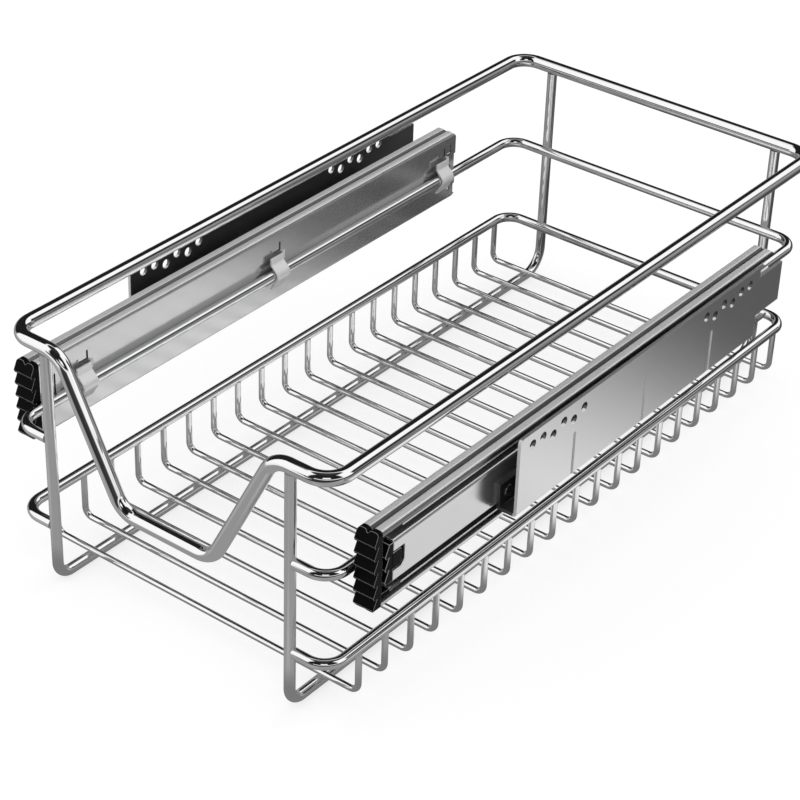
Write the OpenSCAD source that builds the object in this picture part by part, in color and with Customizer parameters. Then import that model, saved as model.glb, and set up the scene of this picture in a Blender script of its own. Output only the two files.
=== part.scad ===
// Pull-out wire basket on two full-extension ball-bearing slides.
// Origin: centre of the footprint, underside of the frame wires.
// +Z up, the scooped handle faces -Y, millimetres, drawn pushed in.

/* [Basket] */
// cabinet wall to cabinet wall, over the brackets
overall_w = 264; // [240:1:420]
// front to back of the top rail, wire centres
basket_d = 440; // [400:1:520]
// height of the top rail's wire centre
top_z = 145; // [140:1:180]
// height of the middle rail's wire centre
middle_z = 90; // [84:1:94]
// height of the lower rail's wire centre
lower_z = 36; // [30:1:50]
// height of the bottom of the handle scoop, wire centre
scoop_z = 67.5; // [60:0.5:110]
// side rail to the top of the scoop
shoulder = 34; // [28:1:40]
// how far a leg of the scoop leans inward
scoop_lean = 40; // [25:1:45]
// side rail to frame wire
frame_inset = 24; // [20:1:26]

/* [Wire] */
// diameter of the top rail
top_wire = 8; // [6:0.5:9]
// diameter of the middle and lower rails
rail_wire = 6; // [5:0.5:6.5]
// diameter of the two frame wires
frame_wire = 6; // [5:0.5:7]
// diameter of the floor wires
cross_wire = 3.5; // [2.5:0.5:4.5]
// front of the top rail to the first floor wire
cross_inset = 24; // [20:1:34]
// spacing of the floor wires
cross_pitch = 20.9; // [16:0.1:30]
// bend of the top rail at its corners
top_bend = 13; // [10:1:16]
// bend of the middle and lower rails at their corners
rail_bend = 12; // [8:1:16]
// bend where the top rail turns down into the scoop
scoop_bend = 15; // [10:1:16]
// bend of a floor wire
cross_bend = 5; // [4:0.5:8]
// bend of a frame wire at the front
frame_front_bend = 9; // [6:1:14]
// bend of a frame wire at the back
frame_rear_bend = 15; // [10:1:26]

/* [Slides] */
// front of the top rail to the front end of the slides
slide_inset = 20; // [17:1:24]
// length of the drawer member
slide_l = 358; // [350:1:380]
// height of the drawer member
slide_h = 45; // [44:0.5:46]
// thickness of the slide
slide_w = 12.7; // [12.5:0.1:13.5]
// the slides' middle line above the middle rail
slide_rise = 2.5; // [0:0.5:4]
// sheet of the drawer member
drawer_t = 1.2; // [1:0.1:1.3]
// sheet of the intermediate member
inter_t = 1; // [0.8:0.1:1.1]
// sheet of the cabinet member
cabinet_t = 1.2; // [1:0.1:1.4]
// sheet of the ball cages
cage_t = 0.6; // [0.4:0.1:0.6]
// bearing ball
ball_d = 3.2; // [2.8:0.1:3.4]
// running gap at the balls and cages
run_gap = 0.35; // [0.25:0.05:0.4]
// spacing of the balls
ball_pitch = 10.5; // [8:0.5:12]
// balls in a row
ball_count = 14; // [8:1:14]
// slide's front end to the first hook that grips the middle rail
clip_first = 30; // [28:1:34]
// spacing of the hooks
clip_pitch = 156; // [140:1:158]
// width of a hook
clip_w = 11; // [8:1:12]
// reach of the fins on caps and plugs
fin_reach = 6; // [4:0.5:7]

/* [Brackets] */
// how far a bracket stands out from its slide
bracket_w = 12.5; // [10:0.5:30]
// sheet of a bracket
bracket_t = 1.8; // [1.5:0.1:2]
// slide's front end to the front edge of a bracket
bracket_front = 92.5; // [88:0.5:100]
// length of a bracket without its tongue
bracket_l = 228; // [200:1:240]
// underside of a bracket below the slide's middle line
bracket_below = 14.5; // [13.5:0.5:15.5]
// top edge of a bracket above the slide's middle line
bracket_above = 31.5; // [28:0.5:38]
// tongue behind a bracket
tongue_l = 24.5; // [15:0.5:30]
// screw hole
hole_d = 5.4; // [4:0.1:6]
// hole to hole
hole_pitch = 9; // [8:0.5:12]
// end of a bracket to its first hole
hole_inset = 10.5; // [8:0.5:14]
// top edge of a bracket to the upper row of holes
hole_drop = 7; // [6:0.5:9]
// how far the lower row sits below the upper one
row_drop = 3.2; // [2:0.1:5]
// end of a bracket to its first slit
slit_inset = 48.5; // [40:0.5:60]
// slit between the bracket's panels
slit_w = 2.4; // [1.5:0.1:3]
// rivet
rivet_d = 4; // [3:0.5:5]

/* [Hidden] */
$fn = 72;
eps = 0.01;
half_d = basket_d / 2;
rear_rail_y = half_d - (frame_wire + rail_wire) / 2;
frame_z = frame_wire / 2;
floor_z = frame_wire + cross_wire / 2 - 0.02;
cross_count = floor((basket_d - cross_inset - frame_rear_bend) / cross_pitch) + 1;
slide_z = middle_z + slide_rise;
slide_y0 = -half_d + slide_inset;
slide_y1 = slide_y0 + slide_l;
clip_v = -slide_rise;                    // the middle rail seen from the slide's middle line
face_u = slide_w - 0.2;                  // flat face of the cabinet member
plate_u = face_u + bracket_w;            // outer face of the bracket
web_x = overall_w / 2 - plate_u;         // where a slide lies against the middle rail
half_w = web_x - rail_wire / 2;
frame_x = half_w - frame_inset;
scoop_top = half_w - shoulder;
scoop_bottom = scoop_top - scoop_lean;
plug_y = slide_y0 + 9;                   // front end of the cabinet member
inter_y0 = slide_y0 + 17;
inter_y1 = slide_y1 - 6;
cabinet_y1 = slide_y1 - 3;
bracket_y0 = slide_y0 + bracket_front;
bracket_y1 = bracket_y0 + bracket_l;
cage_len = ball_pitch * (ball_count + 0.4);
outer_cage_y = (slide_y0 + slide_y1) / 2 + 4;
inner_cage_y = outer_cage_y + 2;

// Each stage of a slide from the one round it: balls, faces and cage strips above the middle line
outer_v = slide_h / 2 - drawer_t - run_gap - ball_d / 2;
inter_v = outer_v - ball_d / 2 - run_gap;
inner_v = inter_v - inter_t - run_gap - ball_d / 2;
cabinet_v = inner_v - ball_d / 2 - run_gap;
outer_cage_u = drawer_t + run_gap + cage_t / 2;
inter_u = outer_cage_u + cage_t / 2 + run_gap + inter_t / 2;
inner_cage_u = inter_u + inter_t / 2 + run_gap + cage_t / 2;

// One round wire bent along points p, with its own radius at every inner point.
function unit(v) = v / norm(v);
function turn(p, i) = acos(max(-1, min(1, unit(p[i] - p[i - 1]) * unit(p[i + 1] - p[i]))));
function trim(p, r, i) =
  i == 0 || i == len(p) - 1 ? 0 : r[i] * tan(turn(p, i) / 2);

module straight(a, b, d) {
  v = b - a;
  l = norm(v);
  translate(a)
    rotate([0, acos(v[2] / l), atan2(v[1], v[0])])
      cylinder(h = l, d = d);
}

module bend(a, b, c, r, d) {
  d1 = unit(b - a);
  d2 = unit(c - b);
  th = acos(d1 * d2);
  n = unit(d2 - d1 * (d1 * d2));
  z = cross(-n, d1);
  m = b - d1 * r * tan(th / 2) + n * r;
  multmatrix([[-n[0], d1[0], z[0], m[0]],
              [-n[1], d1[1], z[1], m[1]],
              [-n[2], d1[2], z[2], m[2]],
              [0, 0, 0, 1]])
    rotate_extrude(angle = th)
      translate([r, 0]) circle(d = d);
}

// A tilted leg is a hair thinner and its ends run 0.8 mm into the bends, so that they join.
function tilted(a, b) = let (u = unit(b - a)) max(abs(u[0]), abs(u[1]), abs(u[2])) < 0.999;

module rod(p, r, d) {
  last = len(p) - 1;
  union() {
    for (i = [0 : last - 1]) {
      u = unit(p[i + 1] - p[i]);
      t = tilted(p[i], p[i + 1]);
      lap = t ? 0.8 : 0;
      straight(p[i] + u * (trim(p, r, i) - lap), p[i + 1] - u * (trim(p, r, i + 1) - lap),
        t ? d - 0.1 : d);
    }
    for (i = [1 : last - 1])
      if (tilted(p[i - 1], p[i])) bend(p[i + 1], p[i], p[i - 1], r[i], d);
      else bend(p[i - 1], p[i], p[i + 1], r[i], d);
  }
}

// Outline of a sheet of thickness t folded along the points p.
function left_of(a, b) = let (v = unit(b - a)) [-v[1], v[0]];
function edge(p, t) = [for (i = [0 : len(p) - 1])
  i == 0 ? p[0] + t / 2 * left_of(p[0], p[1])
  : i == len(p) - 1 ? p[i] + t / 2 * left_of(p[i - 1], p[i])
  : let (a = left_of(p[i - 1], p[i]), b = left_of(p[i], p[i + 1]))
    p[i] + t / 2 * (a + b) / (1 + a * b)];
function flip(p) = [for (i = [len(p) - 1 : -1 : 0]) p[i]];
function below(p) = [for (i = [len(p) - 1 : -1 : 0]) [p[i][0], -p[i][1]]];

module sheet(p, t) {
  polygon(concat(edge(p, t), flip(edge(p, -t))));
}

// Stretches a section (u outward, v up) from y0 to y1.
module along(y0, y1) {
  translate([0, y1, 0]) rotate([90, 0, 0]) linear_extrude(height = y1 - y0) children();
}

// Slide pieces are drawn from the web's inner face and middle line, then put on the right.
module on_right() {
  translate([web_x, 0, slide_z]) children();
}

// Basket wires

module top_rail() {
  color([0.78, 0.78, 0.8])
    rod([[0, half_d, top_z], [-half_w, half_d, top_z], [-half_w, -half_d, top_z],
         [-scoop_top, -half_d, top_z], [-scoop_bottom, -half_d, scoop_z],
         [scoop_bottom, -half_d, scoop_z], [scoop_top, -half_d, top_z],
         [half_w, -half_d, top_z], [half_w, half_d, top_z], [0, half_d, top_z]],
        [0, top_bend, top_bend, scoop_bend, scoop_bend, scoop_bend, scoop_bend,
         top_bend, top_bend, 0], top_wire);
}

module open_rail(z) {
  // both ends butt against the outer sides of the front uprights
  e = frame_x + frame_wire / 2 - 0.4;
  rod([[-e, -half_d, z], [-half_w, -half_d, z], [-half_w, rear_rail_y, z],
       [half_w, rear_rail_y, z], [half_w, -half_d, z], [e, -half_d, z]],
      [0, rail_bend, rail_bend, rail_bend, rail_bend, 0], rail_wire);
}

module middle_rail() {
  color([0.78, 0.78, 0.8]) open_rail(middle_z);
}

module lower_rail() {
  color([0.78, 0.78, 0.8]) open_rail(lower_z);
}

module right_frame_wire() {
  zt = top_z - top_wire / 2 + 0.25;
  color([0.74, 0.74, 0.77])
    rod([[frame_x, -half_d, zt], [frame_x, -half_d, frame_z], [frame_x, half_d, frame_z],
         [frame_x, half_d, zt]], [0, frame_front_bend, frame_rear_bend, 0], frame_wire);
}

module left_frame_wire() {
  mirror([1, 0, 0]) right_frame_wire();
}

module cross_wires() {
  zt = lower_z - rail_wire / 2 + 0.1;
  color([0.76, 0.76, 0.79])
    for (i = [0 : cross_count - 1]) {
      y = -half_d + cross_inset + i * cross_pitch;
      rod([[-half_w, y, zt], [-half_w, y, floor_z], [half_w, y, floor_z], [half_w, y, zt]],
          [0, cross_bend, cross_bend, 0], cross_wire);
    }
}

// Drawer member: 45 mm channel, grooved flanges, three lanced hooks round the middle rail

clip_y = [for (i = [0 : 2]) slide_y0 + clip_first + i * clip_pitch];
flange_v = (slide_h - drawer_t) / 2;
drawer_top = [[slide_w - drawer_t / 2, flange_v - 1.2], [slide_w - 1.8, flange_v],
  [8, flange_v], [6.7, flange_v - 1.3], [5.8, flange_v - 1.3], [4.5, flange_v],
  [drawer_t * 1.5, flange_v], [drawer_t / 2, flange_v - 1.2]];

module hook_window(y) {
  // pressed pocket in front of and under the tongue, blank of the tongue, slit above it
  h = clip_w / 2;
  translate([-1, 0, clip_v]) rotate([90, 0, 90]) {
    linear_extrude(height = 1.7)
      polygon([[y - h - 10.5, -4.2], [y + h - 0.1, -4.2], [y + h - 0.1, 12], [y + h - 7.1, 12],
               [y + h - 7.8, 14.6], [y - h - 5, 14.6], [y - h - 5, 9], [y - h - 10.5, 7.6]]);
    linear_extrude(height = 4) {
      translate([y - 1, -4]) square([h + 0.4, 10]);
      translate([y + h - 7.1, 11.2]) square([7, 1.4]);
      translate([y + h - 1.5, 11.2]) square([1.4, 6]);
    }
  }
}

module hook(y) {
  // tongue, its slope, curl round the rail and lip, and the joggle that ties it to the web
  r = rail_wire / 2;
  q = r + 0.25 + drawer_t / 2;
  u = r - 1.4 - drawer_t / 2;
  lip = 8.2;
  a = 212;
  translate([-r, 0, clip_v]) {
    along(y - clip_w / 2, y + clip_w / 2)
      sheet(concat([[u, r + 7.6], [u, u + 2 * q * cos(45)]],
                   [for (k = [0 : 8]) q * [cos(135 + (a - 135) * k / 8), sin(135 + (a - 135) * k / 8)]],
                   [q * [cos(a), sin(a)] + lip * [-sin(a), cos(a)]]), drawer_t);
    translate([0, 0, r + 3.6]) linear_extrude(height = 4)
      polygon([[r - 1.4, y + clip_w / 2 - eps], [r - 1.4 - drawer_t, y + clip_w / 2 - eps],
               [r, y + clip_w / 2 + 3.6], [r + drawer_t, y + clip_w / 2 + 3.6],
               [r + drawer_t, y + clip_w / 2]]);
  }
}

module right_drawer_member() {
  color([0.66, 0.66, 0.68]) on_right() {
    difference() {
      along(slide_y0, slide_y1) sheet(concat(drawer_top, below(drawer_top)), drawer_t);
      for (y = clip_y) hook_window(y);
      // pierced lances and notched end behind the rear hook
      translate([-1, slide_y1 - 5.5, 9]) cube([4, 1.3, 6.5]);
      translate([-1, slide_y1 - 8.5, 9]) cube([4, 4.3, 1.3]);
      for (v = [0.5, -15]) translate([-1, slide_y1 - 6, v]) rotate([0, 90, 0])
        cylinder(h = 4, d = 2.6);
      translate([-1, slide_y1 - 1.3, -6]) cube([4, 3, 14]);
      translate([-1, slide_y1 - 1.3, -20]) cube([4, 3, 7]);
      // corners of the flanges taken off at the rear
      for (s = [-1, 1]) translate([-1, slide_y1, s * slide_h / 2]) rotate([45, 0, 0])
        cube([14.5, 4, 4], center = true);
    }
    for (y = clip_y) hook(y);
  }
}

module left_drawer_member() {
  mirror([1, 0, 0]) right_drawer_member();
}

// Front cap: six sloping fins across the end of the drawer member, with a spring tongue

function fins(n, p, y_tip, y_root, v0) = [for (i = [n - 1 : -1 : 0]) each
  [[y_root, v0 + (i + 1) * p], [y_tip, v0 + (i + 0.19) * p], [y_tip + 0.09 * p, v0 + i * p]]];

module right_front_cap() {
  color([0.06, 0.06, 0.07]) on_right() {
    rotate([90, 0, 90]) linear_extrude(height = slide_w)
      polygon(concat([[slide_y0, -slide_h / 2], [slide_y0, slide_h / 2]],
        fins(6, slide_h / 6, slide_y0 - fin_reach, slide_y0 - fin_reach / 2, -slide_h / 2)));
    translate([drawer_t + 0.1, slide_y0 - 1, -slide_h / 3]) cube([0.9, slide_w * 0.67, slide_h / 1.5]);
    for (s = [-1, 1]) translate([slide_w * 0.41, slide_y0 - 1, (s * 0.395 - 0.031) * slide_h])
      cube([slide_w * 0.44, slide_w * 0.79, slide_h * 0.062]);
  }
}

module left_front_cap() {
  mirror([1, 0, 0]) right_front_cap();
}

// Ball cages: folded strip with a row of ball holes above and below

module cage(p, yc, v, u) {
  difference() {
    along(yc - cage_len / 2, yc + cage_len / 2) sheet(concat(p, below(p)), cage_t);
    for (i = [0 : ball_count - 1], s = [-1, 1])
      translate([u, yc + (i - (ball_count - 1) / 2) * ball_pitch, s * v - 1])
        cylinder(h = 2, d = ball_d + 0.4);
    for (i = [-1 : 1]) translate([0, yc + i * cage_len / 3.3, -slide_h * 0.155])
      cube([slide_w / 2, cage_len / 5, slide_h * 0.31]);
  }
}

module balls(yc, v, u) {
  for (i = [0 : ball_count - 1], s = [-1, 1])
    translate([u, yc + (i - (ball_count - 1) / 2) * ball_pitch, s * v])
      sphere(d = ball_d);
}

module right_outer_cage() {
  color([0.5, 0.5, 0.52]) on_right()
    cage([[slide_w - 1.7, outer_v], [outer_cage_u + 1.15, outer_v], [outer_cage_u, outer_v - 1.15]],
      outer_cage_y, outer_v, slide_w - 3.3);
}

module left_outer_cage() {
  mirror([1, 0, 0]) right_outer_cage();
}

module right_outer_balls() {
  color([0.85, 0.85, 0.86]) on_right() balls(outer_cage_y, outer_v, slide_w - 3.3);
}

module left_outer_balls() {
  mirror([1, 0, 0]) right_outer_balls();
}

module right_inner_cage() {
  color([0.5, 0.5, 0.52]) on_right()
    cage([[slide_w - 1.9, inner_v], [inner_cage_u + 1.15, inner_v], [inner_cage_u, inner_v - 1.15]],
      inner_cage_y, inner_v, slide_w - 4.3);
}

module left_inner_cage() {
  mirror([1, 0, 0]) right_inner_cage();
}

module right_inner_balls() {
  color([0.85, 0.85, 0.86]) on_right() balls(inner_cage_y, inner_v, slide_w - 4.3);
}

module left_inner_balls() {
  mirror([1, 0, 0]) right_inner_balls();
}

// Intermediate member: channel running between the two ball cages

module right_intermediate_member() {
  u0 = inter_u;
  v0 = inter_v - inter_t / 2;
  color([0.62, 0.62, 0.64]) on_right()
    difference() {
      along(inter_y0, inter_y1)
        sheet([[slide_w - 1.5, v0], [u0 + 1, v0], [u0, v0 - 1], [u0, 1 - v0], [u0 + 1, -v0],
               [slide_w - 1.5, -v0]], inter_t);
      for (y = [inter_y0 + slide_l / 9, inter_y1 - slide_l / 9]) translate([0, y, 0]) rotate([0, 90, 0])
        cylinder(h = 6, d = 8);
      translate([0, inter_y0 + 12, -4]) cube([6, 14, 8]);
    }
}

module left_intermediate_member() {
  mirror([1, 0, 0]) right_intermediate_member();
}

// Cabinet member: smallest channel, its flat face outward, notched at the front

module right_cabinet_member() {
  u0 = inner_cage_u + cage_t / 2 + 1.15;
  u1 = face_u - cabinet_t / 2;
  v1 = cabinet_v - cabinet_t / 2;
  color([0.72, 0.72, 0.74]) on_right()
    difference() {
      along(plug_y, cabinet_y1)
        sheet([[u0, v1], [u1 - 1.1, v1], [u1, v1 - 1.1], [u1, 1.1 - v1], [u1 - 1.1, -v1],
               [u0, -v1]], cabinet_t);
      translate([face_u - 3, plug_y - 1, -5.6]) cube([4, 8, 11.8]);
      translate([face_u - 3, plug_y - 1, -3.6]) cube([4, 9.6, 9.8]);
      for (y = rivet_y) translate([face_u - 3, y, -6.2]) rotate([0, 90, 0])
        cylinder(h = 4, d = rivet_d);
    }
}

module left_cabinet_member() {
  mirror([1, 0, 0]) right_cabinet_member();
}

// End plug: three fins in the mouth of the cabinet member, its catch shows in the notch

module right_end_plug() {
  v = cabinet_v - 1.25;
  color([0.06, 0.06, 0.07]) on_right() {
    translate([5.2, 0, 0]) rotate([90, 0, 90]) linear_extrude(height = face_u - 5.5)
      polygon(concat([[plug_y, -v], [plug_y, v]],
        fins(3, v / 1.5, plug_y - fin_reach, plug_y - fin_reach / 2, -v)));
    translate([6, plug_y - 1, 0.25 - v]) cube([face_u - cabinet_t - 6.2, 15, 2 * v - 0.5]);
    translate([face_u - 2, plug_y - 1, -4.6]) cube([1.7, 7.4, 9.6]);
  }
}

module left_end_plug() {
  mirror([1, 0, 0]) right_end_plug();
}

// Bracket: U-shaped sheet, riveted to the cabinet member, screwed to the cabinet's side

rivet_y = [for (k = [0 : 3]) bracket_y0 + 7.5 + k * (bracket_l - 15) / 3];

module group_holes(y, rows) {
  for (i = [0 : 5])
    translate([plate_u - 4, y + i * hole_pitch, bracket_above - hole_drop - rows[i] * row_drop])
      rotate([0, 90, 0]) cylinder(h = 8, d = hole_d);
}

module right_bracket() {
  y0 = bracket_y0;
  y1 = bracket_y1;
  b = -bracket_below;
  t = bracket_above;
  color([0.7, 0.7, 0.72]) on_right()
    difference() {
      union() {
        along(y0, y1)
          sheet([[face_u + bracket_t / 2, 0.5], [face_u + bracket_t / 2, b + bracket_t / 2],
                 [plate_u - bracket_t / 2, b + bracket_t / 2], [plate_u - bracket_t / 2, t]],
                bracket_t);
        translate([plate_u - bracket_t, y1 - eps, 0.5]) cube([bracket_t, tongue_l, t - hole_drop]);
      }
      group_holes(y0 + hole_inset, [0, 0, 1, 0, 1, 0]);
      group_holes(y1 - hole_inset - 5 * hole_pitch, [0, 1, 0, 1, 0, 0]);
      for (y = [y0 + slit_inset, (y0 + y1) / 2, y1 - slit_inset])
        translate([plate_u - bracket_t - 0.3, y - slit_w / 2, b - 1])
          cube([4, slit_w, (t - b) / 1.7 + 0.74]);
      for (y = rivet_y) translate([face_u - 1, y, -6.2]) rotate([0, 90, 0])
        cylinder(h = 4, d = rivet_d);
      // corners of the plate
      translate([plate_u - 4, y0, t]) rotate([45, 0, 0]) cube([8, 2.4, 2.4], center = true);
      translate([plate_u - 4, y1, t]) rotate([45, 0, 0]) cube([8, 2.4, 2.4], center = true);
    }
}

module left_bracket() {
  mirror([1, 0, 0]) right_bracket();
}

// Rivets: domed head outside, flat head inside

module right_rivets() {
  color([0.82, 0.82, 0.84]) on_right()
    for (y = rivet_y) translate([face_u, y, -6.2]) rotate([0, 90, 0]) {
      translate([0, 0, -cabinet_t]) cylinder(h = cabinet_t + bracket_t, d = rivet_d);
      translate([0, 0, -cabinet_t - 0.9]) cylinder(h = 0.9, d = rivet_d * 1.6);
      translate([0, 0, bracket_t]) cylinder(h = 0.5, d = rivet_d * 1.75);
      translate([0, 0, bracket_t + 0.5]) cylinder(h = 0.9, d1 = rivet_d * 1.75, d2 = rivet_d * 1.1);
    }
}

module left_rivets() {
  mirror([1, 0, 0]) right_rivets();
}

top_rail();
middle_rail();
lower_rail();
left_frame_wire();
right_frame_wire();
cross_wires();
left_drawer_member();
right_drawer_member();
left_front_cap();
right_front_cap();
left_outer_cage();
right_outer_cage();
left_outer_balls();
right_outer_balls();
left_intermediate_member();
right_intermediate_member();
left_inner_cage();
right_inner_cage();
left_inner_balls();
right_inner_balls();
left_cabinet_member();
right_cabinet_member();
left_end_plug();
right_end_plug();
left_bracket();
right_bracket();
left_rivets();
right_rivets();
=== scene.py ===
# Pull-out wire basket for a base cabinet, hung between two ball-bearing slides.
import math
import bmesh
import bpy
from mathutils import Matrix, Vector


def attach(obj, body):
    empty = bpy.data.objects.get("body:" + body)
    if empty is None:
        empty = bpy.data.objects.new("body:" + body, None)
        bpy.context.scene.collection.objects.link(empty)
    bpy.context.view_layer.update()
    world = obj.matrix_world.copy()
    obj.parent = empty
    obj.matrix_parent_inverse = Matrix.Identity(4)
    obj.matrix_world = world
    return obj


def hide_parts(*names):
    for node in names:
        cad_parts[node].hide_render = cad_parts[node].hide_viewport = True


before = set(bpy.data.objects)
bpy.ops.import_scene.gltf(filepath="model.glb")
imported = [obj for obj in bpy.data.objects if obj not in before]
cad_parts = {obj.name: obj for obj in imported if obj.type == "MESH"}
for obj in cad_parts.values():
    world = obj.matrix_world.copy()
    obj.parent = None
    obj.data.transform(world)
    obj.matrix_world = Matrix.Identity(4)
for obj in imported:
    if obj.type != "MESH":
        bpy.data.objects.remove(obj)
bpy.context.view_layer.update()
mm = 0.001

# Top rail.
# One 8 mm wire bent all the way round the mouth of the basket, dipped at the
# front into the handle. Mild steel, cold bent on a former, its ends butt
# welded at the back, then nickel and bright chrome plated with the basket.
half_width, half_depth, rail_top = 104, 220, 145
shoulder, lean, handle_low = 34, 40, 67.5
top_wire, top_corner, handle_corner = 8, 13, 15


def node(tree, kind, **settings):
    """Adds a node to a tree, with its own settings."""
    n = tree.nodes.new(kind)
    for key, value in settings.items():
        setattr(n, key, value)
    return n


def feed(tree, socket, value):
    """Links a socket to another node's output, or gives it a constant."""
    if isinstance(value, bpy.types.NodeSocket):
        tree.links.new(value, socket)
    else:
        socket.default_value = value


def new_finish(name, constants):
    """A material with its tree, its Principled node and the object's own coordinates."""
    mat = bpy.data.materials.new(name)
    mat.use_nodes = True
    t = mat.node_tree
    skin = t.nodes["Principled BSDF"]
    for key, number in constants.items():
        skin.inputs[key].default_value = number
    return mat, t, skin, node(t, "ShaderNodeTexCoord").outputs["Object"]


def noise(t, place, scale, detail):
    """Noise over the given coordinates."""
    n = node(t, "ShaderNodeTexNoise")
    n.inputs["Scale"].default_value = scale
    n.inputs["Detail"].default_value = detail
    t.links.new(place, n.inputs["Vector"])
    return n.outputs["Fac"]


def spread(t, value, start, end, low, high, **settings):
    """Maps a value that goes from start to end onto low to high."""
    m = node(t, "ShaderNodeMapRange", **settings)
    for key, number in (("From Min", start), ("From Max", end), ("To Min", low), ("To Max", high)):
        m.inputs[key].default_value = number
    t.links.new(value, m.inputs["Value"])
    return m.outputs["Result"]


def colour_skin(t, skin, value, dark, light, start=0, end=1):
    """Colours the skin from dark to light as value goes from start to end."""
    ramp = node(t, "ShaderNodeValToRGB")
    for stop, colour, at in zip(ramp.color_ramp.elements, (dark, light), (start, end)):
        stop.color = (*colour, 1)
        stop.position = at
    t.links.new(value, ramp.inputs["Fac"])
    t.links.new(ramp.outputs["Color"], skin.inputs["Base Color"])


def relief(t, skin, height, strength, distance):
    """Raises the skin by a height pattern, distance in metres."""
    bump = node(t, "ShaderNodeBump")
    bump.inputs["Strength"].default_value = strength
    bump.inputs["Distance"].default_value = distance
    t.links.new(height, bump.inputs["Height"])
    t.links.new(bump.outputs["Normal"], skin.inputs["Normal"])


def bright_chrome():
    """Decorative chrome: mirror finish with a trace of polishing haze and a faint ripple."""
    mat, t, skin, place = new_finish("bright chrome plate", {"Metallic": 1.0})
    haze = noise(t, place, 90, 5)
    t.links.new(spread(t, haze, 0.3, 0.7, 0.03, 0.07), skin.inputs["Roughness"])
    colour_skin(t, skin, haze, (0.91, 0.913, 0.92), (0.97, 0.97, 0.972))
    relief(t, skin, noise(t, place, 26, 1), 0.12, 0.0004)
    return mat


chrome = bright_chrome()


def form_wire(tree, source, given, arc_points=14):
    """Nodes that bend a drawn path to its radii and put round wire along it."""
    link = tree.links.new
    curve = node(tree, "GeometryNodeMeshToCurve")
    link(source, curve.inputs["Mesh"])
    fillet = node(tree, "GeometryNodeFilletCurve", mode="POLY")
    fillet.inputs["Count"].default_value = arc_points
    bend = node(tree, "GeometryNodeInputNamedAttribute", data_type="FLOAT")
    bend.inputs["Name"].default_value = "bend"
    link(curve.outputs["Curve"], fillet.inputs["Curve"])
    link(bend.outputs["Attribute"], fillet.inputs["Radius"])
    half = node(tree, "ShaderNodeMath", operation="MULTIPLY")
    half.inputs[1].default_value = 0.5
    link(given.outputs["Wire Diameter"], half.inputs[0])
    ring = node(tree, "GeometryNodeCurvePrimitiveCircle")
    ring.inputs["Resolution"].default_value = 36
    link(half.outputs[0], ring.inputs["Radius"])
    skin = node(tree, "GeometryNodeCurveToMesh")
    skin.inputs["Fill Caps"].default_value = True
    link(fillet.outputs["Curve"], skin.inputs["Curve"])
    link(ring.outputs["Curve"], skin.inputs["Profile Curve"])
    angle = node(tree, "GeometryNodeInputMeshEdgeAngle")
    sharp = node(tree, "FunctionNodeCompare", data_type="FLOAT", operation="GREATER_THAN")
    sharp.inputs[1].default_value = math.radians(50)
    link(angle.outputs["Unsigned Angle"], sharp.inputs[0])
    smooth = node(tree, "GeometryNodeSetShadeSmooth")
    link(skin.outputs["Mesh"], smooth.inputs["Geometry"])
    edges = node(tree, "GeometryNodeSetShadeSmooth", domain="EDGE")
    edges.inputs["Shade Smooth"].default_value = False
    link(smooth.outputs["Geometry"], edges.inputs["Geometry"])
    link(sharp.outputs["Result"], edges.inputs["Selection"])
    return edges.outputs["Geometry"]


def start_tree(name, *sizes):
    """A tree with a socket for its source, each size and the finish."""
    tree = bpy.data.node_groups.new(name, "GeometryNodeTree")
    tree.interface.new_socket("Geometry", in_out="INPUT", socket_type="NodeSocketGeometry")
    for size, kind in sizes:
        tree.interface.new_socket(size, in_out="INPUT", socket_type=kind)
    tree.interface.new_socket("Finish", in_out="INPUT", socket_type="NodeSocketMaterial")
    tree.interface.new_socket("Geometry", in_out="OUTPUT", socket_type="NodeSocketGeometry")
    return tree, node(tree, "NodeGroupInput")


def end_tree(tree, geometry, given):
    """Every tree ends the same way: real geometry, then its finish."""
    real = node(tree, "GeometryNodeRealizeInstances")
    paint = node(tree, "GeometryNodeSetMaterial")
    out = node(tree, "NodeGroupOutput")
    tree.links.new(geometry, real.inputs["Geometry"])
    tree.links.new(real.outputs["Geometry"], paint.inputs["Geometry"])
    tree.links.new(given.outputs["Finish"], paint.inputs["Material"])
    tree.links.new(paint.outputs["Geometry"], out.inputs[0])


def settle(obj):
    """Bakes an object's modifiers into its own mesh."""
    bpy.context.view_layer.update()
    ready = obj.evaluated_get(bpy.context.evaluated_depsgraph_get())
    mesh = bpy.data.meshes.new_from_object(ready)
    obj.modifiers.clear()
    mesh.name = obj.name
    obj.data = mesh


def run_tree(obj, tree, **sizes):
    """Sets a tree's named inputs, evaluates it once and keeps the plain mesh."""
    mod = obj.modifiers.new(tree.name, "NODES")
    mod.node_group = tree
    for item in tree.interface.items_tree:
        key = item.name.replace(" ", "_").lower()
        if item.item_type == "SOCKET" and item.in_out == "INPUT" and key in sizes:
            mod[item.identifier] = sizes[key]
    settle(obj)


def path_object(name, points, bends, closed=False):
    """A drawn path in millimetres, with the bend radius stored at each point."""
    mesh = bpy.data.meshes.new(name)
    n = len(points)
    edges = [(i, i + 1) for i in range(n - 1)] + ([(n - 1, 0)] if closed else [])
    mesh.from_pydata([Vector(p) * mm for p in points], edges, [])
    store = mesh.attributes.new("bend", "FLOAT", "POINT")
    store.data.foreach_set("value", [b * mm for b in bends])
    obj = bpy.data.objects.new(name, mesh)
    bpy.context.scene.collection.objects.link(obj)
    return obj


def finish_piece(obj, body, node_name):
    """Rides a piece on its body, in the place of its CAD node."""
    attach(obj, body)
    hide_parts(node_name)


wire_tree, given = start_tree("bent wire", ("Wire Diameter", "NodeSocketFloat"))
end_tree(wire_tree, form_wire(wire_tree, given.outputs["Geometry"], given), given)


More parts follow.
